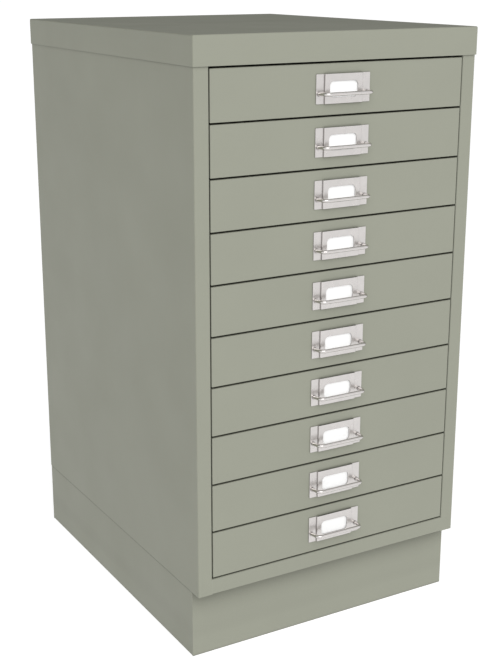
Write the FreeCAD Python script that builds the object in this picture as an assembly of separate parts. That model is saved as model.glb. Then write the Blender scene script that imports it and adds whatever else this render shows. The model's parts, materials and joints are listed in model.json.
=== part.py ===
import FreeCAD, Part
import math
import os

# A steel cabinet with ten shallow drawers on a plinth. Millimetres, X to the right, Y to the back, Z up.
# The origin is on the floor, under the middle of the box round the whole cabinet with its pulls.

# Top cap, which gives the overall width and depth
CAP_WIDTH = 349.0
CAP_DEPTH = 432.0
CAP_SKIRT = 30.0
CAP_SHEET = 0.9
CAP_EDGE_RADIUS = 1.5
CAP_OVERHANG_FRONT = 1.5
CAP_OVERHANG_SIDE = 1.0
CAP_OVERHANG_BACK = 1.0

# Carcass of folded sheet
CARCASS_SHEET = 0.9
BEND_RADIUS = 0.6
STRIP_WIDTH = 17.0
STRIP_RETURN = 14.0
REAR_RETURN = 15.0
TOP_FLANGE = 15.0
SIDE_BOTTOM_FLANGE = 22.0
BOTTOM_RAIL_HEIGHT = 18.2
RAIL_RETURN = 12.0
BASE_FLANGE = 12.0
PANEL_CLEARANCE = 0.7

# Drawer fronts
DRAWER_COUNT = 10
FRONT_HEIGHT = 52.5
DRAWER_GAP = 1.8
TOP_GAP = 2.1
BOTTOM_GAP = 1.5
FRONT_SIDE_GAP = 0.9
FRONT_SHEET = 0.8
FRONT_RETURN = 10.5
FRONT_EDGE_RADIUS = 0.9

# Drawer trays
TRAY_SHEET = 0.8
TRAY_BEND_RADIUS = 0.6
TRAY_LIFT = 1.4
TRAY_TOP_GAP = 4.0
LIP_WIDTH = 4.7
LIP_CLEARANCE = 1.0
LIP_START = 3.0
STOP_TAB_LENGTH = 4.0
STOP_TAB_HEIGHT = 2.0
DRAWER_TRAVEL = 330.0

# Runners and their posts
RUNNER_SHEET = 1.2
RUNNER_SLOT = 4.6
RUNNER_SIDE_CLEARANCE = 0.5
RUNNER_END_GAP = 1.0
SLIDE_CLEARANCE = 0.1
STOP_HANG = 2.6
STOP_CLEARANCE = 0.3
POST_SHEET = 1.2
POST_WIDTH = 30.0
POST_FOOT = 10.0
POST_INSET = 45.0

# Rubber buffers behind the trays
BUFFER_RADIUS = 5.0
BUFFER_LENGTH = 3.7
BUFFER_GAP = 0.2
BUFFER_SPACING = 220.0

# Handle: a pressed card holder and the rod pull that pins it to the drawer
PULL_SPACING = 59.6
PULL_TO_HOLDER_EDGE = 3.45
HOLDER_WIDTH = PULL_SPACING + 2 * PULL_TO_HOLDER_EDGE
HOLDER_HEIGHT = 30.2
HOLDER_SHEET = 0.7
HOLDER_RAISE = 2.5
HOLDER_MIDDLE_WIDTH = 46.6
HOLDER_BEND_RADIUS = 0.15
WINDOW_WIDTH = 35.0
WINDOW_HEIGHT = 15.5
WINDOW_RADIUS = 5.0
ROD_DIAMETER = 3.1
PULL_PROJECTION = 15.85
PULL_DROP = 4.4
PULL_CORNER_RADIUS = 5.5
ROD_HEAD_DIAMETER = 5.6
ROD_HEAD_THICKNESS = 0.8
ROD_HOLE_CLEARANCE = 0.05

# Label card
CARD_SHEET = 0.4
CARD_CLEARANCE = 0.3
CARD_SIDE_CLEARANCE = 0.6
CARD_TOP_GAP = 2.5

# Plinth
PLINTH_HEIGHT = 80.0
PLINTH_SHEET = 1.2
PLINTH_BEND_RADIUS = 0.6
PLINTH_SETBACK = 16.3
PLINTH_INSET_SIDE = 0.85
PLINTH_INSET_BACK = 0.5
PLINTH_FLANGE = 20.0
PLINTH_CORNER_GAP = 0.2
BRACKET_LEG = 25.0
BRACKET_SHEET = 2.0
BRACKET_END_GAP = 3.0

# Bolts that hold the plinth under the carcass
BOLT_DIAMETER = 6.0
BOLT_HOLE_CLEARANCE = 0.3
BOLT_END = 2.0
THREAD_CLEARANCE = 0.05
HEX_ACROSS_FLATS = 10.0
BOLT_HEAD_HEIGHT = 4.0
NUT_HEIGHT = 5.0
BOLT_INSET = 100.0

# Planes from side to side, as distances from the middle
body_half = CAP_WIDTH / 2 - CAP_OVERHANG_SIDE
body_inside = body_half - CARCASS_SHEET
opening_half = body_half - STRIP_WIDTH
front_half = opening_half - FRONT_SIDE_GAP
lip_half = opening_half - LIP_CLEARANCE
tray_half = lip_half - LIP_WIDTH
ledge_half = tray_half + LIP_CLEARANCE
runner_inside = opening_half + RUNNER_SIDE_CLEARANCE
runner_half = runner_inside + RUNNER_SHEET
plinth_half = body_half - PLINTH_INSET_SIDE

# Planes from front to back
pull_front = -(CAP_DEPTH + PULL_PROJECTION - CAP_OVERHANG_FRONT) / 2
body_front = pull_front + PULL_PROJECTION
cap_front = body_front - CAP_OVERHANG_FRONT
cap_back = cap_front + CAP_DEPTH
body_back = cap_back - CAP_OVERHANG_BACK
panel_back = body_back - CARCASS_SHEET
panel_front = panel_back - CARCASS_SHEET
front_inside = body_front + FRONT_SHEET
tray_inside = front_inside + TRAY_SHEET
tray_back = panel_front - BUFFER_LENGTH - BUFFER_GAP
lip_front = body_front + FRONT_RETURN + LIP_START
tab_front = tray_back - STOP_TAB_LENGTH
runner_front = body_front + STRIP_RETURN + RUNNER_END_GAP
runner_back = panel_front - RUNNER_END_GAP
plinth_front = body_front + PLINTH_SETBACK
plinth_back = body_back - PLINTH_INSET_BACK
holder_front = body_front - HOLDER_RAISE
holder_flange = body_front - HOLDER_SHEET

# Levels
body_bottom = PLINTH_HEIGHT
base_bottom = body_bottom + CARCASS_SHEET
base_top = base_bottom + CARCASS_SHEET
opening_bottom = body_bottom + BOTTOM_RAIL_HEIGHT
drawer_pitch = FRONT_HEIGHT + DRAWER_GAP
opening_top = opening_bottom + BOTTOM_GAP + DRAWER_COUNT * drawer_pitch - DRAWER_GAP + TOP_GAP
cap_top = opening_top + CAP_SKIRT
body_top = cap_top - CAP_SHEET

MIDDLE = FreeCAD.Vector(0, 0, 0)
TO_RIGHT = FreeCAD.Vector(1, 0, 0)
TO_BACK = FreeCAD.Vector(0, 1, 0)
UPWARD = FreeCAD.Vector(0, 0, 1)


def point(x, y, z):
    return FreeCAD.Vector(x, y, z)


def block(x0, x1, y0, y1, z0, z1):
    """A box between two planes each way."""
    return Part.makeBox(x1 - x0, y1 - y0, z1 - z0, point(x0, y0, z0))


def rod(start, direction, radius, length):
    """A round bar or the tool for a round hole."""
    return Part.makeCylinder(radius, length, start, direction)


def joined(solids):
    """Solids of one piece, welded or folded from one sheet."""
    return solids[0].multiFuse(solids[1:]).removeSplitter()


def mirrored(shape):
    """The same piece on the other side of the cabinet."""
    return shape.mirror(MIDDLE, TO_RIGHT)


def unit(vector):
    return vector / vector.Length


def sheet_face_line(points, normal, sheet, radius, depth):
    """Edges along one face of a folded sheet, at a depth to the left of its points."""
    edges = []
    here = points[0] + normal.cross(unit(points[1] - points[0])) * depth
    for before, corner, after in zip(points, points[1:], points[2:]):
        way_in = unit(corner - before)
        way_out = unit(after - corner)
        turn = math.atan2(way_in.cross(way_out).dot(normal), way_in.dot(way_out))
        side = math.copysign(1, turn)
        bend = radius + sheet * (side > 0)
        reach = bend * math.tan(abs(turn) / 2)
        centre = corner - way_in * reach + normal.cross(way_in) * side * bend
        first = corner - way_in * reach + normal.cross(way_in) * depth
        last = corner + way_out * reach + normal.cross(way_out) * depth
        halfway = centre + unit(corner - centre) * (bend - side * depth)
        edges.append(Part.makeLine(here, first))
        edges.append(Part.Arc(first, halfway, last).toShape())
        here = last
    end = points[-1] + normal.cross(unit(points[-1] - points[-2])) * depth
    edges.append(Part.makeLine(here, end))
    return edges


def folded_sheet(points, run, sheet, radius):
    """A sheet folded along the points, as long as run, lying to the left of them as run's tip sees it."""
    normal = unit(run)
    near = sheet_face_line(points, normal, sheet, radius, 0)
    far = sheet_face_line(points, normal, sheet, radius, sheet)
    start = Part.makeLine(near[0].Vertexes[0].Point, far[0].Vertexes[0].Point)
    end = Part.makeLine(near[-1].Vertexes[-1].Point, far[-1].Vertexes[-1].Point)
    outline = Part.Wire(Part.sortEdges(near + far + [start, end])[0])
    return Part.Face(outline).extrude(run)


def drawer_bottom(number):
    """Level of the lower edge of a drawer front, with drawer 1 at the top."""
    return opening_bottom + BOTTOM_GAP + (DRAWER_COUNT - number) * drawer_pitch


def lip_bottom(number):
    """Level of the underside of a tray's lips, which ride on the runners."""
    return drawer_bottom(number) + FRONT_HEIGHT - TRAY_TOP_GAP - TRAY_SHEET


def filleted(shape, radius, chosen):
    """Rounds the straight edges that the test picks by their two ends."""
    edges = [edge for edge in shape.Edges if chosen(edge.Vertexes[0].Point, edge.Vertexes[-1].Point)]
    return shape.makeFillet(radius, edges)


def make_top_cap():
    """A pan turned upside down, with rounded upper edges and corners."""
    half = CAP_WIDTH / 2
    outside = block(-half, half, cap_front, cap_back, opening_top, cap_top)
    inner = half - CAP_SHEET
    inside = block(-inner, inner, cap_front + CAP_SHEET, cap_back - CAP_SHEET, opening_top, body_top)
    rounded = filleted(outside, CAP_EDGE_RADIUS, lambda a, b: max(a.z, b.z) > opening_top + CAP_SHEET)
    return rounded.cut(inside)


def make_side_right():
    """Side wall with its front strip, the strip's return beside the drawers, and flanges."""
    strip_end = point(opening_half, body_front, body_bottom)
    front_corner = point(body_half, body_front, body_bottom)
    rear_corner = point(body_half, body_back, body_bottom)
    rear_end = point(body_half - REAR_RETURN, body_back, body_bottom)
    height = UPWARD * (body_top - body_bottom)
    wall = folded_sheet([strip_end, front_corner, rear_corner, rear_end], height, CARCASS_SHEET, BEND_RADIUS)
    lift = UPWARD * (opening_bottom - body_bottom)
    return_end = strip_end + TO_BACK * STRIP_RETURN + lift
    frame_line = [return_end, strip_end + lift, front_corner + lift - TO_RIGHT * STRIP_WIDTH / 2]
    frame_height = UPWARD * (opening_top - opening_bottom)
    frame_return = folded_sheet(frame_line, frame_height, CARCASS_SHEET, BEND_RADIUS)
    bend = BEND_RADIUS + CARCASS_SHEET
    square_edge = block(opening_half, opening_half + bend, body_front, body_front + CARCASS_SHEET,
                        opening_bottom, opening_top)
    inner_front = body_front + CARCASS_SHEET
    top_flange = block(body_half - TOP_FLANGE, body_inside, inner_front, panel_back,
                       body_top - CARCASS_SHEET, body_top)
    bottom_flange = block(body_half - SIDE_BOTTOM_FLANGE, body_inside, body_front + STRIP_RETURN, panel_front,
                          body_bottom, base_bottom)
    side = joined([wall.cut(square_edge), frame_return, top_flange, bottom_flange])
    return side.cut(plinth_bolt_holes())


def make_back_panel():
    """A flat sheet inside the rear returns of the two sides."""
    half = body_inside - PANEL_CLEARANCE
    return block(-half, half, panel_front, panel_back, body_bottom, body_top - CARCASS_SHEET)


def make_base_panel():
    """The floor of the carcass, with flanges turned up against the sides and the back."""
    flange_top = base_bottom + BASE_FLANGE
    front = body_front + CARCASS_SHEET + PANEL_CLEARANCE
    corners = [point(-body_inside, front, flange_top), point(-body_inside, front, base_bottom),
               point(body_inside, front, base_bottom), point(body_inside, front, flange_top)]
    length = TO_BACK * (panel_front - front)
    floor = folded_sheet(corners[::-1], length, CARCASS_SHEET, BEND_RADIUS)
    inner = body_inside - CARCASS_SHEET - BEND_RADIUS
    back = block(-inner, inner, panel_front - CARCASS_SHEET, panel_front, base_bottom, flange_top)
    return joined([floor, back]).cut(plinth_bolt_holes())


def make_rail(bottom, top):
    """A front rail between the strips, flush with them, with its edges turned back."""
    line = [point(-opening_half, body_front + RAIL_RETURN, bottom),
            point(-opening_half, body_front, bottom),
            point(-opening_half, body_front, top),
            point(-opening_half, body_front + RAIL_RETURN, top)]
    return folded_sheet(line[::-1], TO_RIGHT * 2 * opening_half, CARCASS_SHEET, BEND_RADIUS)


def make_posts_right():
    """Two upright hat sections on the inside of the side wall, behind the runners."""
    bottom = base_bottom + BASE_FLANGE
    height = UPWARD * (body_top - CARCASS_SHEET - bottom)
    web = runner_half + POST_SHEET
    posts = []
    for start in (body_front + POST_INSET, panel_front - POST_INSET - POST_WIDTH):
        end = start + POST_WIDTH
        line = [point(body_inside, start - POST_FOOT, bottom), point(body_inside, start, bottom),
                point(web, start, bottom), point(web, end, bottom),
                point(body_inside, end, bottom), point(body_inside, end + POST_FOOT, bottom)]
        posts.append(folded_sheet(line, height, POST_SHEET, BEND_RADIUS))
    return Part.makeCompound(posts)


def make_runner_right(number):
    """A channel that carries one tray's lip, with a stop hanging from its upper flange."""
    ledge = lip_bottom(number) - SLIDE_CLEARANCE
    bottom = ledge - RUNNER_SHEET
    top = ledge + RUNNER_SLOT + RUNNER_SHEET
    line = [point(ledge_half, runner_front, bottom), point(runner_half, runner_front, bottom),
            point(runner_half, runner_front, top), point(ledge_half, runner_front, top)]
    length = TO_BACK * (runner_back - runner_front)
    channel = folded_sheet(line[::-1], length, RUNNER_SHEET, BEND_RADIUS)
    stop_back = tab_front - DRAWER_TRAVEL - STOP_CLEARANCE
    under = ledge + RUNNER_SLOT
    stop = block(ledge_half, lip_half, stop_back - RUNNER_SHEET, stop_back, under - STOP_HANG, under)
    return joined([channel, stop])


def make_runners_right():
    return Part.makeCompound([make_runner_right(number) for number in range(1, DRAWER_COUNT + 1)])


def make_buffers():
    """Two rubber buffers on the back panel for each drawer."""
    buffers = []
    for number in range(1, DRAWER_COUNT + 1):
        for side in (-1, 1):
            seat = point(side * BUFFER_SPACING / 2, panel_front, drawer_bottom(number) + FRONT_HEIGHT / 2)
            buffers.append(rod(seat, -TO_BACK, BUFFER_RADIUS, BUFFER_LENGTH))
    return Part.makeCompound(buffers)


def make_plinth_plate(start, run, inward):
    """An upright plate with its top and bottom edges turned inward, from one corner of the plinth."""
    foot = start + inward * PLINTH_FLANGE
    line = [foot, start, start + UPWARD * PLINTH_HEIGHT, foot + UPWARD * PLINTH_HEIGHT]
    if unit(run).cross(UPWARD).dot(inward) < 0:
        line = line[::-1]
    return folded_sheet(line, run, PLINTH_SHEET, PLINTH_BEND_RADIUS)


def plinth_flange_ends(front, back):
    """Tools that cut a long plate's flanges off short of the side plates."""
    inner = plinth_half - PLINTH_SHEET - PLINTH_BEND_RADIUS
    return [block(-plinth_half, -inner, front, back, 0, PLINTH_HEIGHT),
            block(inner, plinth_half, front, back, 0, PLINTH_HEIGHT)]


def make_plinth_front():
    start = point(-plinth_half, plinth_front, 0)
    plate = make_plinth_plate(start, TO_RIGHT * 2 * plinth_half, TO_BACK)
    return plate.cut(plinth_flange_ends(plinth_front + PLINTH_SHEET, plinth_front + PLINTH_FLANGE))


def make_plinth_back():
    start = point(-plinth_half, plinth_back, 0)
    plate = make_plinth_plate(start, TO_RIGHT * 2 * plinth_half, -TO_BACK)
    return plate.cut(plinth_flange_ends(plinth_back - PLINTH_FLANGE, plinth_back - PLINTH_SHEET))


def make_plinth_right():
    """Between the front and back plates, with its flanges cut short of theirs."""
    start = point(plinth_half, plinth_front + PLINTH_SHEET, 0)
    run = TO_BACK * (plinth_back - plinth_front - 2 * PLINTH_SHEET)
    plate = make_plinth_plate(start, run, -TO_RIGHT)
    notch = PLINTH_FLANGE + PLINTH_CORNER_GAP
    inner = plinth_half - PLINTH_SHEET - PLINTH_BEND_RADIUS
    tip = plinth_half - PLINTH_FLANGE
    front_notch = block(tip, inner, plinth_front, plinth_front + notch, 0, PLINTH_HEIGHT)
    back_notch = block(tip, inner, plinth_back - notch, plinth_back, 0, PLINTH_HEIGHT)
    return plate.cut([front_notch, back_notch]).cut(plinth_bolt_holes())


def make_brackets():
    """An angle welded into each corner of the plinth."""
    x = plinth_half - PLINTH_SHEET
    bottom = PLINTH_SHEET + BRACKET_END_GAP
    height = UPWARD * (PLINTH_HEIGHT - 2 * bottom)
    brackets = []
    for y, inward in ((plinth_front + PLINTH_SHEET, TO_BACK), (plinth_back - PLINTH_SHEET, -TO_BACK)):
        corner = point(x, y, bottom)
        line = [corner + inward * BRACKET_LEG, corner, corner - TO_RIGHT * BRACKET_LEG]
        if inward.y > 0:
            line = line[::-1]
        bracket = folded_sheet(line, height, BRACKET_SHEET, BEND_RADIUS)
        brackets += [bracket, mirrored(bracket)]
    return Part.makeCompound(brackets)


def bolt_axes():
    """Where the plinth's bolts stand, in the middle of its side flanges."""
    x = plinth_half - PLINTH_FLANGE / 2
    rows = (plinth_front + BOLT_INSET, plinth_back - BOLT_INSET)
    return [point(side * x, y, 0) for side in (-1, 1) for y in rows]


def plinth_bolt_holes():
    """Tools for the holes through the plinth's flange, the side's flange and the base panel."""
    bottom = PLINTH_HEIGHT - PLINTH_SHEET
    radius = BOLT_DIAMETER / 2 + BOLT_HOLE_CLEARANCE
    return [rod(axis + UPWARD * bottom, UPWARD, radius, base_top - bottom) for axis in bolt_axes()]


def hexagon(centre, height):
    """A hexagonal head or nut standing on its centre."""
    radius = HEX_ACROSS_FLATS / 2 / math.cos(math.pi / 6)
    corners = []
    for step in range(7):
        angle = step * math.pi / 3
        corners.append(centre + point(radius * math.cos(angle), radius * math.sin(angle), 0))
    return Part.Face(Part.makePolygon(corners)).extrude(UPWARD * height)


def make_bolts():
    head_top = PLINTH_HEIGHT - PLINTH_SHEET
    length = base_top + NUT_HEIGHT + BOLT_END - head_top
    bolts = []
    for axis in bolt_axes():
        head = hexagon(axis + UPWARD * (head_top - BOLT_HEAD_HEIGHT), BOLT_HEAD_HEIGHT)
        shank = rod(axis + UPWARD * head_top, UPWARD, BOLT_DIAMETER / 2, length)
        bolts.append(joined([head, shank]))
    return Part.makeCompound(bolts)


def make_nuts():
    """Nuts welded on top of the base panel."""
    nuts = []
    for axis in bolt_axes():
        seat = axis + UPWARD * base_top
        bore = rod(seat, UPWARD, BOLT_DIAMETER / 2 + THREAD_CLEARANCE, NUT_HEIGHT)
        nuts.append(hexagon(seat, NUT_HEIGHT).cut(bore))
    return Part.makeCompound(nuts)


def rod_holes(number):
    """Tools for the two holes that the pull's ends pass through, in holder, drawer front and tray."""
    radius = ROD_DIAMETER / 2 + ROD_HOLE_CLEARANCE
    level = pull_level(number)
    starts = [point(side * PULL_SPACING / 2, holder_flange, level) for side in (-1, 1)]
    return [rod(start, TO_BACK, radius, tray_inside - holder_flange) for start in starts]


def drawer_middle(number):
    return drawer_bottom(number) + FRONT_HEIGHT / 2


def pull_level(number):
    return drawer_middle(number) - PULL_DROP


def make_drawer_front(number):
    """A shallow pan with rounded front edges, its four sides turned back."""
    bottom = drawer_bottom(number)
    top = bottom + FRONT_HEIGHT
    back = body_front + FRONT_RETURN
    outside = block(-front_half, front_half, body_front, back, bottom, top)
    outside = filleted(outside, FRONT_EDGE_RADIUS, lambda a, b: min(a.y, b.y) < body_front + 0.01)
    inner = front_half - FRONT_SHEET
    inside = block(-inner, inner, front_inside, back, bottom + FRONT_SHEET, top - FRONT_SHEET)
    return outside.cut(inside).cut(rod_holes(number))


def make_tray(number):
    """A folded tray with lips turned out along its sides and a tab at the back of each lip."""
    floor = drawer_bottom(number) + TRAY_LIFT
    lip = lip_bottom(number)
    top = lip + TRAY_SHEET
    y = front_inside
    line = [point(-lip_half, y, lip), point(-tray_half, y, lip), point(-tray_half, y, floor),
            point(tray_half, y, floor), point(tray_half, y, lip), point(lip_half, y, lip)]
    trough = folded_sheet(line[::-1], TO_BACK * (tray_back - y), TRAY_SHEET, TRAY_BEND_RADIUS)
    lip_notches = [block(-lip_half, -tray_half, y, lip_front, floor, top),
                   block(tray_half, lip_half, y, lip_front, floor, top)]
    inner = tray_half - TRAY_SHEET
    front = block(-inner, inner, y, tray_inside, floor, top)
    back = block(-inner, inner, tray_back - TRAY_SHEET, tray_back, floor, top)
    tabs = []
    for side in (-1, 1):
        ends = sorted((side * ledge_half, side * lip_half))
        tabs.append(block(ends[0], ends[1], tab_front, tray_back, top, top + STOP_TAB_HEIGHT))
    return joined([trough.cut(lip_notches), front, back] + tabs).cut(rod_holes(number))


def make_holder(number):
    """The handle's plate: flanges on the drawer front, a raised middle open at its top, and its window."""
    bottom = drawer_middle(number) - HOLDER_HEIGHT / 2
    half = HOLDER_WIDTH / 2
    middle = HOLDER_MIDDLE_WIDTH / 2
    flange = holder_flange
    line = [point(-half, flange, bottom), point(-middle, flange, bottom), point(-middle, holder_front, bottom),
            point(middle, holder_front, bottom), point(middle, flange, bottom), point(half, flange, bottom)]
    plate = folded_sheet(line, UPWARD * HOLDER_HEIGHT, HOLDER_SHEET, HOLDER_BEND_RADIUS)
    pocket = middle - HOLDER_SHEET
    foot = block(-pocket, pocket, holder_front + HOLDER_SHEET, body_front, bottom, bottom + HOLDER_SHEET)
    return joined([plate, foot]).cut([window_tool(number)] + rod_holes(number))


def window_tool(number):
    """The window's rounded opening through the raised middle."""
    level = drawer_middle(number)
    x = WINDOW_WIDTH / 2
    z = WINDOW_HEIGHT / 2
    tool = block(-x, x, holder_front, holder_front + HOLDER_SHEET, level - z, level + z)
    return filleted(tool, WINDOW_RADIUS, lambda a, b: abs(a.y - b.y) > HOLDER_SHEET / 2)


def make_pull(number):
    """A round rod bent to a D, whose ends pass through the drawer front and are headed over inside."""
    level = pull_level(number)
    x = PULL_SPACING / 2
    front = pull_front + ROD_DIAMETER / 2
    end = tray_inside
    bend = PULL_CORNER_RADIUS
    inner = x - bend
    behind = front + bend
    diagonal = bend * math.sqrt(0.5)
    path = Part.Wire([
        Part.makeLine(point(-x, end, level), point(-x, behind, level)),
        Part.Arc(point(-x, behind, level), point(-inner - diagonal, behind - diagonal, level),
                 point(-inner, front, level)).toShape(),
        Part.makeLine(point(-inner, front, level), point(inner, front, level)),
        Part.Arc(point(inner, front, level), point(inner + diagonal, behind - diagonal, level),
                 point(x, behind, level)).toShape(),
        Part.makeLine(point(x, behind, level), point(x, end, level)),
    ])
    ring = Part.Wire(Part.makeCircle(ROD_DIAMETER / 2, point(-x, end, level), TO_BACK))
    bow = path.makePipeShell([ring], True, False)
    heads = [rod(point(side * x, end, level), TO_BACK, ROD_HEAD_DIAMETER / 2, ROD_HEAD_THICKNESS)
             for side in (-1, 1)]
    return joined([bow] + heads)


def make_handle(number):
    """The plated pair: the holder, and the pull whose ends pin it to the drawer front."""
    return Part.makeCompound([make_holder(number), make_pull(number)])


def make_card(number):
    """A label card that stands on the foot of its holder, just behind the window."""
    bottom = drawer_middle(number) - HOLDER_HEIGHT / 2 + HOLDER_SHEET
    top = drawer_middle(number) + HOLDER_HEIGHT / 2 - CARD_TOP_GAP
    half = HOLDER_MIDDLE_WIDTH / 2 - HOLDER_SHEET - CARD_SIDE_CLEARANCE
    front = holder_front + HOLDER_SHEET + CARD_CLEARANCE
    return block(-half, half, front, front + CARD_SHEET, bottom, top)


def build():
    side_right = make_side_right()
    posts_right = make_posts_right()
    runners_right = make_runners_right()
    plinth_right = make_plinth_right()
    nodes = {
        "top_cap": make_top_cap(),
        "side_left": mirrored(side_right),
        "side_right": side_right,
        "back_panel": make_back_panel(),
        "base_panel": make_base_panel(),
        "bottom_rail": make_rail(body_bottom, opening_bottom),
        "top_rail": make_rail(opening_top, body_top),
        "posts_left": mirrored(posts_right),
        "posts_right": posts_right,
        "runners_left": mirrored(runners_right),
        "runners_right": runners_right,
        "rear_buffers": make_buffers(),
        "plinth_front": make_plinth_front(),
        "plinth_back": make_plinth_back(),
        "plinth_left": mirrored(plinth_right),
        "plinth_right": plinth_right,
        "plinth_brackets": make_brackets(),
        "plinth_bolts": make_bolts(),
        "plinth_nuts": make_nuts(),
    }
    for number in range(1, DRAWER_COUNT + 1):
        drawer = f"drawer_{number:02d}"
        nodes[drawer + "_tray"] = make_tray(number)
        nodes[drawer + "_front"] = make_drawer_front(number)
        nodes[drawer + "_handle"] = make_handle(number)
        nodes[drawer + "_card"] = make_card(number)
    return nodes


os.makedirs("parts", exist_ok=True)
for node, shape in build().items():
    shape.exportStep(os.path.join("parts", node + ".step"))
    print(node, "solids", len(shape.Solids), "valid", shape.isValid(), "volume", round(shape.Volume, 1))
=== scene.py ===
import json
import math

import bmesh
import bpy
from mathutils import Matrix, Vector

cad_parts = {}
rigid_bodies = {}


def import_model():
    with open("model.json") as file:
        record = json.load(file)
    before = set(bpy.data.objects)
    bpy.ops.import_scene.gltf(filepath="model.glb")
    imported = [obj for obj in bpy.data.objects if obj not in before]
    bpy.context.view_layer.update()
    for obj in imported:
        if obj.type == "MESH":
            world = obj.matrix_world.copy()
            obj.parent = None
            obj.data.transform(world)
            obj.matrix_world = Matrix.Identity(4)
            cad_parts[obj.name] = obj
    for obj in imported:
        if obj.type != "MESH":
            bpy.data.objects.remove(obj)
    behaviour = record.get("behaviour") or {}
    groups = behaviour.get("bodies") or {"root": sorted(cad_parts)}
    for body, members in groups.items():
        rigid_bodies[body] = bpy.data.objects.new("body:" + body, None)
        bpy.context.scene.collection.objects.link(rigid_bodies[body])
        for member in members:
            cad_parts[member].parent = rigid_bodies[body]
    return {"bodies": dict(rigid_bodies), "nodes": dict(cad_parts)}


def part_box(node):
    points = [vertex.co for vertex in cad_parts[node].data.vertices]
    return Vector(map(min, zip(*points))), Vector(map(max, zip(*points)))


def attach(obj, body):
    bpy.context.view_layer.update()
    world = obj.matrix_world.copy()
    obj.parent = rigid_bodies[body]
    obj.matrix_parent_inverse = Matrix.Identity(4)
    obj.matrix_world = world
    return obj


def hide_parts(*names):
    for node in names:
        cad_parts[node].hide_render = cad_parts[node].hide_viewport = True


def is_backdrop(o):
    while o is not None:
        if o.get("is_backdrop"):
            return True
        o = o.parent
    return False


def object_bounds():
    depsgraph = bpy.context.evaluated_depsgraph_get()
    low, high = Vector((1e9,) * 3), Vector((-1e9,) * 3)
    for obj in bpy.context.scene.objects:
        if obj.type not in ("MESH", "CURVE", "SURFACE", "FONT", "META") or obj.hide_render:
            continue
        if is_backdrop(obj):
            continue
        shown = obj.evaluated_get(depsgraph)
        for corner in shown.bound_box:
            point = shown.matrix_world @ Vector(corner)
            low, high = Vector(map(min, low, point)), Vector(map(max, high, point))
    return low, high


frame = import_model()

# A steel cabinet with ten shallow drawers, put together from the floor up. Sizes are in metres.
cad_low, cad_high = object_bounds()
nodes = frame["nodes"]
MM = 0.001


# The paint
# Carcass, plinth and drawers are powder coated after welding, in one grey-green satin coat. It is a little
# uneven in depth, has a fine orange peel, and is thin and rubbed along its edges. Shade is painted into its
# colour, darker in corners, gaps and under overhangs.
PAINT = (0.273, 0.280, 0.2275, 1)
PAINT_RUBBED = (0.35, 0.36, 0.31, 1)
# Colour of the painted shade in corners, gaps and under overhangs.
PAINT_CREASE_SHADE = (0.07, 0.072, 0.056, 1)


def shader_node(tree, kind, options, sockets):
    """One node, with its options set and its sockets given a value or joined to another node's output."""
    made = tree.nodes.new("ShaderNode" + kind)
    for name, value in options.items():
        setattr(made, name, value)
    for name, value in sockets.items():
        if isinstance(value, bpy.types.NodeSocket):
            tree.links.new(value, made.inputs[name])
        else:
            made.inputs[name].default_value = value
    return made


def noise(tree, place, scale, detail):
    """Cloudy noise; scale is in cells to the metre."""
    made = shader_node(tree, "TexNoise", {}, {"Vector": place, "Scale": scale, "Detail": detail})
    return made.outputs["Fac"]


def spread(tree, value, low, high, to_low, to_high):
    """Stretches a value's range over another range."""
    sockets = {"Value": value, "From Min": low, "From Max": high, "To Min": to_low, "To Max": to_high}
    return shader_node(tree, "MapRange", {}, sockets).outputs["Result"]


def toned(tree, colour, value):
    """A colour made lighter or darker by a value round one."""
    made = shader_node(tree, "HueSaturation", {}, {"Color": colour, "Value": value})
    return made.outputs["Color"]


def mixed(tree, share, first, second):
    made = shader_node(tree, "Mix", {"data_type": "RGBA"}, {0: share, 6: first, 7: second})
    return made.outputs[2]


def edge_share(tree, radius, low, high):
    """Near one on an outside or inside edge, and zero on the flat."""
    rounded = shader_node(tree, "Bevel", {"samples": 6}, {"Radius": radius}).outputs["Normal"]
    flat = shader_node(tree, "NewGeometry", {}, {}).outputs["Normal"]
    match = shader_node(tree, "VectorMath", {"operation": "DOT_PRODUCT"}, {0: rounded, 1: flat})
    return spread(tree, match.outputs["Value"], high, low, 0, 1)


def crease_share(tree, reach, low, high):
    """Near one where the surface is closed in within a short reach, and zero in the open."""
    openness = shader_node(tree, "AmbientOcclusion", {"samples": 8}, {"Distance": reach}).outputs["AO"]
    return spread(tree, openness, low, high, 1, 0)


def bump(tree, height, depth, strength):
    made = shader_node(tree, "Bump", {}, {"Height": height, "Distance": depth, "Strength": strength})
    return made.outputs["Normal"]


def new_material(name):
    material = bpy.data.materials.new(name)
    material.use_nodes = True
    tree = material.node_tree
    place = shader_node(tree, "TexCoord", {}, {}).outputs["Object"]
    return material, tree, tree.nodes["Principled BSDF"], place


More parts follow.
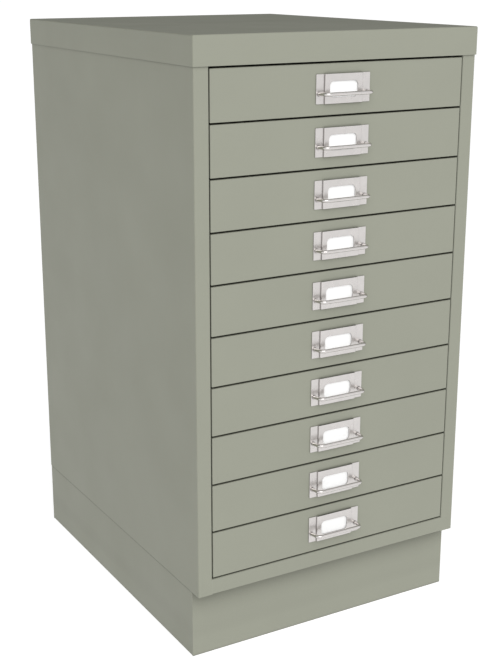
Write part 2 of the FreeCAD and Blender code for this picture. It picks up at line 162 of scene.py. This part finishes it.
def powder_coat(name):
    material, tree, shader, place = new_material(name)
    drift = spread(tree, noise(tree, place, 7, 3), 0.3, 0.7, 0.978, 1.022)
    peel = noise(tree, place, 750, 2)
    speck = spread(tree, noise(tree, place, 2600, 1), 0.3, 0.7, 0.985, 1.015)
    coat = toned(tree, toned(tree, PAINT, drift), speck)
    rub = edge_share(tree, 0.7 * MM, 0.70, 0.97)
    patchy = spread(tree, noise(tree, place, 60, 4), 0.42, 0.62, 0.1, 1)
    worn = shader_node(tree, "Math", {"operation": "MULTIPLY"}, {0: rub, 1: patchy}).outputs[0]
    worn = spread(tree, worn, 0, 1, 0, 0.55)
    coat = mixed(tree, worn, coat, PAINT_RUBBED)
    # Painted shade: the coat is darkened where another surface closes it in within 4 mm, in corners, gaps and
    # under overhangs.
    painted_crease_shade = crease_share(tree, 4.0 * MM, 0, 0.97)
    painted_crease_shade = spread(tree, painted_crease_shade, 0, 1, 0, 0.9)
    tree.links.new(mixed(tree, painted_crease_shade, coat, PAINT_CREASE_SHADE), shader.inputs["Base Color"])
    smear = spread(tree, noise(tree, place, 16, 4), 0.3, 0.7, 0.46, 0.56)
    tree.links.new(smear, shader.inputs["Roughness"])
    tree.links.new(bump(tree, peel, 0.03 * MM, 0.35), shader.inputs["Normal"])
    shader.inputs["IOR"].default_value = 1.3
    return material


def finish_nodes(names, material):
    """Gives the finish to nodes whose shape is kept."""
    for name in names:
        for material_slot in nodes[name].material_slots:
            material_slot.material = material


paint = powder_coat("powder_coat")


# Plinth
# Four plates folded from 1.2 mm sheet, welded at the corners over small angles, and painted with the
# carcass. Four bolts through its side flanges hold it under the carcass.
PLINTH_SHADE_REACH = 45.0 * MM


def plinth_coat():
    """The same coat, with shade painted in where the carcass overhangs the plinth, darker higher up towards
    the seam.
    """
    material = powder_coat("plinth_coat")
    tree = material.node_tree
    coat = tree.nodes["Principled BSDF"].inputs["Base Color"]
    place = shader_node(tree, "TexCoord", {}, {}).outputs["Object"]
    level = shader_node(tree, "SeparateXYZ", {}, {"Vector": place}).outputs["Z"]
    # Painted shade of the overhang: none near the floor, growing up the plinth and where the carcass closes
    # it in.
    above_floor = spread(tree, level, 20 * MM, 60 * MM, 0, 0.5)
    covered = crease_share(tree, PLINTH_SHADE_REACH, 0.7, 1)
    painted_overhang_shade = shader_node(tree, "Math", {"operation": "MULTIPLY"}, {0: above_floor, 1: covered}).outputs[0]
    tree.links.new(mixed(tree, painted_overhang_shade, coat.links[0].from_socket, PAINT_CREASE_SHADE), coat)
    return material


plinth_names = ["plinth_front", "plinth_back", "plinth_left", "plinth_right", "plinth_brackets"]
finish_nodes(plinth_names, plinth_coat())


def zinc_plate():
    """Bright zinc on bolts and nuts, slightly clouded."""
    material, tree, shader, place = new_material("zinc_plate")
    cloud = spread(tree, noise(tree, place, 400, 4), 0.3, 0.7, 0.85, 1.1)
    tree.links.new(toned(tree, (0.62, 0.62, 0.60, 1), cloud), shader.inputs["Base Color"])
    dull = spread(tree, noise(tree, place, 900, 3), 0.3, 0.7, 0.28, 0.45)
    tree.links.new(dull, shader.inputs["Roughness"])
    tree.links.new(bump(tree, noise(tree, place, 3000, 2), 0.01 * MM, 0.4), shader.inputs["Normal"])
    shader.inputs["Metallic"].default_value = 1
    return material


zinc = zinc_plate()
finish_nodes(["plinth_bolts", "plinth_nuts"], zinc)


# Carcass
# Two folded sides with their front strips, the base, the back and two front rails, spot welded into one
# box and painted together inside and out.
finish_nodes(["base_panel", "side_left", "side_right", "back_panel", "bottom_rail", "top_rail"], paint)


# Posts and runners
# Hat-section posts spot welded to the sides carry twenty channels. All are bare zinc-coated sheet, with
# the grey bloom and faint crystals of the coating.
def coated_sheet():
    material, tree, shader, place = new_material("zinc_coated_sheet")
    sockets = {"Vector": place, "Scale": 140.0}
    crystal = shader_node(tree, "TexVoronoi", {}, sockets).outputs["Color"]
    grey = shader_node(tree, "RGBToBW", {}, {"Color": crystal}).outputs["Val"]
    shade = spread(tree, grey, 0, 1, 0.88, 1.08)
    tree.links.new(toned(tree, (0.50, 0.51, 0.52, 1), shade), shader.inputs["Base Color"])
    tree.links.new(spread(tree, grey, 0, 1, 0.34, 0.5), shader.inputs["Roughness"])
    tree.links.new(bump(tree, noise(tree, place, 1200, 3), 0.01 * MM, 0.5), shader.inputs["Normal"])
    shader.inputs["Metallic"].default_value = 0.9
    return material


finish_nodes(["posts_left", "posts_right", "runners_left", "runners_right"], coated_sheet())


# Rear buffers
# Moulded rubber buttons bonded to the back panel, two behind each drawer, with a rounded face that takes
# the tray's blow.
BUFFER_RADIUS = 5.0 * MM
BUFFER_LENGTH = 3.7 * MM
BUFFER_ROUNDING = 1.4 * MM
BUFFER_SIDES = 40
BUFFER_ROUNDING_STEPS = 8
MERGE_DISTANCE = 0.002 * MM
SHARP_BEND = math.radians(32)


def new_piece(name, mesh_maker, body, material, replaced):
    """A piece built at its own place, riding on a body and standing for a node."""
    bm = bmesh.new()
    mesh_maker(bm)
    bmesh.ops.remove_doubles(bm, verts=bm.verts, dist=MERGE_DISTANCE)
    bmesh.ops.recalc_face_normals(bm, faces=bm.faces)
    mesh = bpy.data.meshes.new(name)
    bm.to_mesh(mesh)
    bm.free()
    mesh.shade_smooth()
    mesh.set_sharp_from_angle(angle=SHARP_BEND)
    mesh.materials.append(material)
    piece = bpy.data.objects.new(name, mesh)
    bpy.context.scene.collection.objects.link(piece)
    shading = piece.modifiers.new("flat_faces_stay_flat", "WEIGHTED_NORMAL")
    shading.keep_sharp = True
    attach(piece, body)
    if replaced:
        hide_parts(replaced)
    return piece


def ring_of(bm, centre, across, upward, radius, count):
    """Points round a centre, in the plane of two unit directions."""
    ring = []
    for step in range(count):
        turn = 2 * math.pi * step / count
        offset = across * math.cos(turn) * radius + upward * math.sin(turn) * radius
        ring.append(bm.verts.new(centre + offset))
    return ring


def skin_rings(bm, rings):
    """Faces between rings that follow each other, with a cap on each end."""
    for before, after in zip(rings, rings[1:]):
        count = len(before)
        for here in range(count):
            there = (here + 1) % count
            bm.faces.new((before[here], before[there], after[there], after[here]))
    bm.faces.new(rings[0][::-1])
    bm.faces.new(rings[-1])


def rubber():
    material, tree, shader, place = new_material("black_rubber")
    bloom = spread(tree, noise(tree, place, 500, 4), 0.35, 0.7, 0.8, 1.5)
    tree.links.new(toned(tree, (0.022, 0.022, 0.023, 1), bloom), shader.inputs["Base Color"])
    tree.links.new(spread(tree, noise(tree, place, 900, 3), 0.3, 0.7, 0.55, 0.75), shader.inputs["Roughness"])
    tree.links.new(bump(tree, noise(tree, place, 2500, 2), 0.02 * MM, 0.5), shader.inputs["Normal"])
    return material


def buffer_centres():
    """Seats of the buffers on the back panel, read from the node that they stand for."""
    low, high = (Vector(corner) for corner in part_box("rear_buffers"))
    across = high.x - BUFFER_RADIUS
    rows = len(drawers)
    for row in range(rows):
        share = row / (rows - 1)
        level = (low.z + BUFFER_RADIUS) * (1 - share) + (high.z - BUFFER_RADIUS) * share
        for side in (-1, 1):
            yield Vector((side * across, high.y, level))


def make_buffers(bm):
    across = Vector((1, 0, 0))
    upward = Vector((0, 0, 1))
    face = BUFFER_RADIUS - BUFFER_ROUNDING
    for seat in buffer_centres():
        rings = [ring_of(bm, seat, across, upward, BUFFER_RADIUS, BUFFER_SIDES)]
        for step in range(BUFFER_ROUNDING_STEPS + 1):
            turn = math.pi / 2 * step / BUFFER_ROUNDING_STEPS
            radius = face + BUFFER_ROUNDING * math.cos(turn)
            reach = BUFFER_LENGTH - BUFFER_ROUNDING + BUFFER_ROUNDING * math.sin(turn)
            centre = seat - Vector((0, reach, 0))
            rings.append(ring_of(bm, centre, across, upward, radius, BUFFER_SIDES))
        skin_rings(bm, rings)


drawers = sorted(body for body in frame["bodies"] if body.startswith("drawer_"))
new_piece("rubber_buffers", make_buffers, "cabinet", rubber(), "rear_buffers")


# Top cap
# A shallow pan pressed from 0.9 mm sheet, turned upside down over the carcass, with its corners welded
# and ground before painting.
finish_nodes(["top_cap"], paint)


# Drawers
# Each is a folded tray with out-turned lips, spot welded behind a shallow pan that is its front, all
# painted.
for drawer in drawers:
    finish_nodes([drawer + "_tray", drawer + "_front"], paint)


# Handles
# A card holder pressed from 0.7 mm plated sheet: flanges on the drawer front, and a raised middle, open at
# the top, with a window whose rim is turned back towards the card. A bright rod bent to a D stands on the
# flanges with its shoulders, and the pins on its ends go through the drawer front and are headed over inside.
HOLDER_SHEET = 0.7 * MM
HOLDER_RAISE = 2.5 * MM
HOLDER_WIDTH = 66.5 * MM
HOLDER_HEIGHT = 30.1 * MM
HOLDER_RISE = 0.6 * MM
HOLDER_MIDDLE = 46.6 * MM
HOLDER_BEND = 0.15 * MM
HOLDER_CORNER = 0.8 * MM
CUT_ROUNDING = 0.12 * MM
WINDOW_ROUNDING = 0.3 * MM
WINDOW_WIDTH = 35.0 * MM
WINDOW_HEIGHT = 16.5 * MM
WINDOW_DROP = 0.5 * MM
WINDOW_CORNER = 5.0 * MM
WINDOW_LIP = 1.7 * MM
WINDOW_LIP_SHEET = 0.45 * MM
ROD_RADIUS = 2.0 * MM
PIN_RADIUS = 1.55 * MM
ROD_BEND = 5.5 * MM
ROD_HEAD = 2.8 * MM
ROD_HEAD_THICKNESS = 0.8 * MM
ROD_HEAD_TIP = 0.05 * MM
ROD_HEAD_STEPS = 6
ROD_SIDES = 28
PULL_SPACING = 58.2 * MM
PULL_PROJECTION = 15.3 * MM
PULL_DROP = 4.4 * MM
PIN_SPACING = 59.6 * MM
BEND_STEPS = 6
MIDDLE_X_STEPS = 32
MIDDLE_Z_STEPS = 16
FOOT_SEAM = 0.02 * MM
CUT_EDGE_ANGLE = math.radians(60)
SAME_PLACE = CUT_ROUNDING / 9
PLATE = (0.62, 0.595, 0.58, 1)
# Colour of the painted shade in the plating's creases.
PLATE_CREASE_SHADE = (0.16, 0.152, 0.148, 1)
CREASE_REACH = 1.6 * MM


def plating(name, smooth, dull):
    """Nickel and chrome over steel, clouded by handling between a smooth and a dull roughness, with shade
    painted into its creases.
    """
    material, tree, shader, place = new_material(name)
    cloud = spread(tree, noise(tree, place, 120, 4), 0.3, 0.7, 0.97, 1.03)
    bright = toned(tree, PLATE, cloud)
    # Painted shade: the plating darkens where another surface closes it in, at the step, inside the window's
    # lip and round the rod's feet.
    crease = crease_share(tree, CREASE_REACH, 0.35, 0.95)
    tree.links.new(mixed(tree, crease, bright, PLATE_CREASE_SHADE), shader.inputs["Base Color"])
    marks = spread(tree, noise(tree, place, 260, 5), 0.3, 0.75, smooth, dull)
    tree.links.new(marks, shader.inputs["Roughness"])
    tree.links.new(bump(tree, noise(tree, place, 500, 2), 0.01 * MM, 0.25), shader.inputs["Normal"])
    shader.inputs["Metallic"].default_value = 1
    return material


def bend_points(centre, radius, start, turn):
    """Points and outward directions round one bend, as seen from above."""
    made = []
    for step in range(BEND_STEPS + 1):
        angle = start + turn * step / BEND_STEPS
        way = Vector((math.cos(angle), math.sin(angle), 0))
        made.append((centre + way * radius, way))
    return made


def holder_section():
    """The left half of the holder's front surface, from its edge to the raised middle, with normals."""
    forward = Vector((0, -1, 0))
    edge = Vector((-HOLDER_WIDTH / 2, -HOLDER_SHEET, 0))
    step = -HOLDER_MIDDLE / 2
    inner = HOLDER_BEND
    outer = HOLDER_BEND + HOLDER_SHEET
    concave = Vector((step - inner, -HOLDER_SHEET - inner, 0))
    convex = Vector((step + outer, -HOLDER_RAISE + outer, 0))
    section = [(edge, forward)]
    section += [(point, -way) for point, way in bend_points(concave, inner, math.pi / 2, -math.pi / 2)]
    section += bend_points(convex, outer, math.pi, math.pi / 2)
    return section


def window_outline(grown):
    """Points round the window, from its lower left corner, as many as round the raised middle."""
    straight_x = WINDOW_WIDTH / 2 - WINDOW_CORNER
    straight_z = WINDOW_HEIGHT / 2 - WINDOW_CORNER
    corner = WINDOW_CORNER + grown
    half_turn = math.pi / 4
    corners = [(-1, -1, math.pi * 1.25), (1, -1, math.pi * 1.75),
               (1, 1, math.pi * 0.25), (-1, 1, math.pi * 0.75)]
    outline = []
    for index, (side_x, side_z, middle) in enumerate(corners):
        steps = (MIDDLE_X_STEPS, MIDDLE_Z_STEPS)[index % 2]
        arc = steps // 4
        after = corners[(index + 1) % 4]
        here = Vector((side_x * straight_x, 0, side_z * straight_z - WINDOW_DROP))
        there = Vector((after[0] * straight_x, 0, after[1] * straight_z - WINDOW_DROP))
        for step in range(arc):
            angle = middle + half_turn * step / arc
            outline.append(here + Vector((math.cos(angle), 0, math.sin(angle))) * corner)
        straight = steps - 2 * arc
        angle = middle + half_turn
        rim = Vector((math.cos(angle), 0, math.sin(angle))) * corner
        for step in range(straight):
            outline.append(here.lerp(there, step / straight) + rim)
        for step in range(arc):
            angle = middle + half_turn + half_turn * step / arc
            outline.append(there + Vector((math.cos(angle), 0, math.sin(angle))) * corner)
    return outline


def frame_outline(half_x, half_z):
    """Points round a rectangle, from its lower left corner."""
    corners = [(-half_x, -half_z), (half_x, -half_z), (half_x, half_z), (-half_x, half_z)]
    outline = []
    for index, here in enumerate(corners):
        there = corners[(index + 1) % 4]
        steps = (MIDDLE_X_STEPS, MIDDLE_Z_STEPS)[index % 2]
        for step in range(steps):
            share = step / steps
            x = here[0] + (there[0] - here[0]) * share
            z = here[1] + (there[1] - here[1]) * share
            outline.append(Vector((x, 0, z)))
    return outline


def make_holder(bm, middle):
    """Both surfaces of the folded sheet round its window, joined along every cut edge."""
    half_z = HOLDER_HEIGHT / 2
    section = holder_section()
    flat_half = -section[-1][0].x
    levels = [half_z * (2 * row / MIDDLE_Z_STEPS - 1) for row in range(MIDDLE_Z_STEPS + 1)]
    outer = frame_outline(flat_half, half_z)
    inner = window_outline(0)
    behind = window_outline(WINDOW_LIP_SHEET)
    count = len(outer)

    def face(*corners):
        bm.faces.new([bm.verts.new(middle + corner) for corner in corners])

    def at(point, way, depth, level, side):
        placed = point - way * depth
        return Vector((placed.x * side, placed.y, level))

    for depth in (0, HOLDER_SHEET):
        for side in (1, -1):
            for (point_a, way_a), (point_b, way_b) in zip(section, section[1:]):
                for low, high in zip(levels, levels[1:]):
                    face(at(point_a, way_a, depth, low, side), at(point_b, way_b, depth, low, side),
                         at(point_b, way_b, depth, high, side), at(point_a, way_a, depth, high, side))
        front = Vector((0, depth - HOLDER_RAISE, 0))
        rim = behind if depth else inner
        for here in range(count):
            there = (here + 1) % count
            face(outer[here] + front, outer[there] + front, rim[there] + front, rim[here] + front)
    near = Vector((0, -HOLDER_RAISE, 0))
    far = Vector((0, HOLDER_SHEET - HOLDER_RAISE, 0))
    lip = Vector((0, WINDOW_LIP - HOLDER_RAISE, 0))
    for here in range(count):
        there = (here + 1) % count
        face(inner[here] + near, inner[there] + near, inner[there] + lip, inner[here] + lip)
        face(inner[here] + lip, inner[there] + lip, behind[there] + lip, behind[here] + lip)
        face(behind[here] + lip, behind[there] + lip, behind[there] + far, behind[here] + far)
        if abs(outer[here].z) == half_z and abs(outer[here].z - outer[there].z) < CUT_ROUNDING:
            face(outer[here] + near, outer[there] + near, outer[there] + far, outer[here] + far)
    edge, way = section[0]
    for side in (1, -1):
        for low, high in zip(levels, levels[1:]):
            face(at(edge, way, 0, low, side), at(edge, way, HOLDER_SHEET, low, side),
                 at(edge, way, HOLDER_SHEET, high, side), at(edge, way, 0, high, side))
        for (point_a, way_a), (point_b, way_b) in zip(section, section[1:]):
            for level in (-half_z, half_z):
                face(at(point_a, way_a, 0, level, side), at(point_b, way_b, 0, level, side),
                     at(point_b, way_b, HOLDER_SHEET, level, side),
                     at(point_a, way_a, HOLDER_SHEET, level, side))
    bmesh.ops.remove_doubles(bm, verts=bm.verts, dist=MERGE_DISTANCE)
    bmesh.ops.recalc_face_normals(bm, faces=bm.faces)
    corners = [cut for cut in bm.edges
               if all(abs(abs(v.co.x) - HOLDER_WIDTH / 2) < SAME_PLACE for v in cut.verts)
               and all(abs(abs(v.co.z - middle.z) - half_z) < SAME_PLACE for v in cut.verts)]
    bmesh.ops.bevel(bm, geom=corners, offset=HOLDER_CORNER, segments=5, profile=0.5, affect="EDGES")
    rim = [cut for cut in bm.edges
           if all(abs(v.co.y - middle.y + HOLDER_RAISE) < SAME_PLACE for v in cut.verts)
           and all(abs(v.co.x) < WINDOW_WIDTH / 2 + CUT_ROUNDING for v in cut.verts)
           and all(abs(v.co.z - middle.z + WINDOW_DROP) < WINDOW_HEIGHT / 2 + CUT_ROUNDING for v in cut.verts)
           and cut.calc_face_angle() > CUT_EDGE_ANGLE]
    bmesh.ops.bevel(bm, geom=rim, offset=WINDOW_ROUNDING, segments=4, profile=0.5, affect="EDGES")
    cut_edges = [cut for cut in bm.edges if cut.is_manifold and cut.calc_face_angle() > CUT_EDGE_ANGLE]
    bmesh.ops.bevel(bm, geom=cut_edges, offset=CUT_ROUNDING, segments=3, profile=0.5, affect="EDGES")


def make_foot(bm, middle):
    """The lower edge of the raised middle, folded back to the drawer front so that the card stands on it."""
    half = HOLDER_MIDDLE / 2 - HOLDER_SHEET
    bottom = middle.z - HOLDER_HEIGHT / 2
    low = Vector((-half, middle.y - HOLDER_RAISE + HOLDER_SHEET + FOOT_SEAM, bottom))
    high = Vector((half, middle.y - FOOT_SEAM, bottom + HOLDER_SHEET))
    made = bmesh.ops.create_cube(bm, size=1)
    for vertex in made["verts"]:
        share = vertex.co + Vector((0.5, 0.5, 0.5))
        vertex.co = Vector(low[axis] + (high[axis] - low[axis]) * share[axis] for axis in range(3))
    edges = [cut for cut in bm.edges if all(end in made["verts"] for end in cut.verts)]
    bmesh.ops.bevel(bm, geom=edges, offset=CUT_ROUNDING, segments=3, profile=0.5, affect="EDGES")


def pull_path():
    """Half of the pull's middle line, from a pin's head to the middle of the D, with directions and radii."""
    outward = Vector((0, -1, 0))
    pin_end = Vector((-PIN_SPACING / 2, tray_inside - body_front, -HOLDER_RISE))
    shoulder = Vector((-PIN_SPACING / 2, -HOLDER_SHEET, -HOLDER_RISE))
    path = []
    for step in range(ROD_HEAD_STEPS + 1):
        turn = math.pi / 2 * (1 - step / ROD_HEAD_STEPS)
        depth = Vector((0, ROD_HEAD_THICKNESS * math.sin(turn), 0))
        path.append((pin_end + depth, outward, max(ROD_HEAD * math.cos(turn), ROD_HEAD_TIP)))
    path += [(pin_end, outward, PIN_RADIUS), (shoulder, outward, PIN_RADIUS), (shoulder, outward, ROD_RADIUS)]
    centre = Vector((ROD_BEND - PULL_SPACING / 2, ROD_BEND + ROD_RADIUS - PULL_PROJECTION, 0))
    steps = 2 * BEND_STEPS
    for step in range(steps + 1):
        angle = math.pi + math.pi / 2 * step / steps
        way = Vector((math.cos(angle), math.sin(angle), 0))
        path.append((centre + way * ROD_BEND, Vector((-way.y, way.x, 0)), ROD_RADIUS))
    return path


def make_pull(bm, middle):
    """The rod's skin, round its middle line and that line's mirror image."""
    upward = Vector((0, 0, 1))
    left = pull_path()
    right = [(Vector((-place.x, place.y, place.z)), Vector((way.x, -way.y, 0)), radius)
             for place, way, radius in left[::-1]]
    drop = Vector((0, 0, -PULL_DROP))
    rings = []
    for place, way, radius in left + right:
        across = way.cross(upward)
        rings.append(ring_of(bm, middle + place + drop, across, upward, radius, ROD_SIDES))
    skin_rings(bm, rings)


body_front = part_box("side_left")[0][1]
tray_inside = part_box("drawer_01_tray")[0][1] + 0.8 * MM
satin = plating("satin_plate", 0.26, 0.34)
bright = plating("bright_plate", 0.12, 0.2)
for drawer in drawers:
    handle = drawer + "_handle"
    low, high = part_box(handle)
    middle = Vector((0, body_front, (low[2] + high[2]) / 2 + HOLDER_RISE))
    new_piece(drawer + "_holder", lambda bm: (make_holder(bm, middle), make_foot(bm, middle)),
              drawer, satin, handle)
    new_piece(drawer + "_pull", lambda bm: make_pull(bm, middle), drawer, bright, handle)


# Label cards
# One blank white card in each holder, cut with rounded corners and bowed a little by its pocket.
CARD_THICKNESS = 0.3 * MM
CARD_CORNER = 1.2 * MM
CARD_BOW = 0.12 * MM
CARD_COLUMNS = 24
CARD_CLEARANCE = 0.15 * MM


def white_card():
    material, tree, shader, place = new_material("white_card")
    pulp = spread(tree, noise(tree, place, 900, 5), 0.3, 0.7, 0.985, 1.0)
    tree.links.new(toned(tree, (0.91, 0.91, 0.905, 1), pulp), shader.inputs["Base Color"])
    tree.links.new(spread(tree, noise(tree, place, 300, 3), 0.3, 0.7, 0.7, 0.85), shader.inputs["Roughness"])
    tree.links.new(bump(tree, noise(tree, place, 4000, 3), 0.01 * MM, 0.5), shader.inputs["Normal"])
    return material


def make_card(bm, low, high):
    """A rounded rectangle with thickness, bowed forward in its middle."""
    half_x = (high.x - low.x) / 2
    half_z = (high.z - low.z) / 2
    centre = (low + high) / 2
    front = []
    back = []
    for column in range(CARD_COLUMNS + 1):
        x = half_x * (2 * column / CARD_COLUMNS - 1)
        inset = max(0, abs(x) - (half_x - CARD_CORNER))
        reach = half_z - CARD_CORNER + math.sqrt(max(CARD_CORNER ** 2 - inset ** 2, 0))
        y = low.y + CARD_BOW * (x / half_x) ** 2
        for row, depth in ((front, 0), (back, CARD_THICKNESS)):
            row.append([bm.verts.new((centre.x + x, y + depth, centre.z + side * reach)) for side in (-1, 1)])
    for before, after in zip(range(CARD_COLUMNS), range(1, CARD_COLUMNS + 1)):
        bm.faces.new((front[before][0], front[after][0], front[after][1], front[before][1]))
        bm.faces.new((back[before][0], back[before][1], back[after][1], back[after][0]))
        for end in (0, 1):
            bm.faces.new((front[before][end], back[before][end], back[after][end], front[after][end]))
    for column in (0, CARD_COLUMNS):
        bm.faces.new((front[column][0], front[column][1], back[column][1], back[column][0]))


card = white_card()
for drawer in drawers:
    low, high = (Vector(corner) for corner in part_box(drawer + "_card"))
    low += Vector((0, 0, HOLDER_RISE))
    high += Vector((0, 0, HOLDER_RISE))
    low.y = body_front - HOLDER_RAISE + WINDOW_LIP + CARD_CLEARANCE
    new_piece(drawer + "_label", lambda bm: make_card(bm, low, high), drawer, card,
              drawer + "_card")


# Studio
# A pale floor, soft light from the air that is stronger in front, and one soft light above and a little to
# the left.
FLOOR_HALF = 60.0
FLOOR_GLOW = 0.86
AIR_IN_FRONT = 1.0
AIR_BEHIND = 0.225
KEY_AZIMUTH = -20
KEY_HEIGHT = 2.0
KEY_DISTANCE = 2.4
KEY_WIDTH = 2.2
KEY_TALL = 1.6
KEY_BRIGHTNESS = 2.4


def studio_floor():
    mesh = bpy.data.meshes.new("floor")
    half = FLOOR_HALF
    corners = [(-half, -half, 0), (half, -half, 0), (half, half, 0), (-half, half, 0)]
    mesh.from_pydata(corners, [], [(0, 1, 2, 3)])
    material, tree, shader, place = new_material("pale_floor")
    shader.inputs["Base Color"].default_value = (0.35, 0.35, 0.35, 1)
    shader.inputs["Roughness"].default_value = 0.9
    shader.inputs["Specular IOR Level"].default_value = 0.1
    shader.inputs["Emission Color"].default_value = (1, 1, 1, 1)
    shader.inputs["Emission Strength"].default_value = FLOOR_GLOW
    mesh.materials.append(material)
    floor = bpy.data.objects.new("floor", mesh)
    bpy.context.scene.collection.objects.link(floor)
    floor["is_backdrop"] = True


def studio_air():
    """Light from the air, strong in front and weak behind; the air itself shows white."""
    world = bpy.data.worlds.new("studio")
    world.use_nodes = True
    tree = world.node_tree
    grey = tree.nodes["Background"]
    way = shader_node(tree, "TexCoord", {}, {}).outputs["Generated"]
    back = shader_node(tree, "SeparateXYZ", {}, {"Vector": way}).outputs["Y"]
    tree.links.new(spread(tree, back, -0.4, 0.05, AIR_IN_FRONT, AIR_BEHIND), grey.inputs["Strength"])
    grey.inputs["Color"].default_value = (1, 1, 1, 1)
    white = shader_node(tree, "Background", {}, {"Color": (1, 1, 1, 1), "Strength": 1.0})
    path = shader_node(tree, "LightPath", {}, {})
    mix = shader_node(tree, "MixShader", {}, {0: path.outputs["Is Camera Ray"], 1: grey.outputs[0],
                                             2: white.outputs[0]})
    tree.links.new(mix.outputs[0], tree.nodes["World Output"].inputs["Surface"])
    bpy.context.scene.world = world


def key_light():
    """A wide soft light aimed at the middle of the cabinet; its brightness is what its face shows."""
    light = bpy.data.lights.new("key_light", "AREA")
    light.shape = "RECTANGLE"
    light.size = KEY_WIDTH
    light.size_y = KEY_TALL
    light.energy = KEY_BRIGHTNESS * math.pi * KEY_WIDTH * KEY_TALL
    lamp = bpy.data.objects.new("key_light", light)
    turn = math.radians(KEY_AZIMUTH)
    lamp.location = (math.sin(turn) * KEY_DISTANCE, -math.cos(turn) * KEY_DISTANCE, KEY_HEIGHT)
    aim = Vector((0, 0, cad_high.z / 2)) - lamp.location
    lamp.rotation_euler = aim.to_track_quat("-Z", "Y").to_euler()
    bpy.context.scene.collection.objects.link(lamp)


studio_floor()
studio_air()
key_light()


# Camera
# Where the photograph was taken from, found from the cabinet's own straight edges.
CAMERA_PLACE = (-0.729716, -1.263334, 0.734499)
CAMERA_AZIMUTH = math.radians(-29.992)
CAMERA_ELEVATION = math.radians(15.996)
lens = bpy.data.cameras.new("camera")
lens.lens = 66.51
lens.sensor_width = 36.0
lens.shift_x = 0.0128
lens.shift_y = -0.0199
lens.clip_end = 300.0
camera = bpy.data.objects.new("camera", lens)
camera.location = CAMERA_PLACE
camera.rotation_euler = (math.pi / 2 - CAMERA_ELEVATION, 0, CAMERA_AZIMUTH)
bpy.context.scene.collection.objects.link(camera)
bpy.context.scene.camera = camera
bpy.context.scene.view_settings.view_transform = "Standard"

low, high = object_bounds()
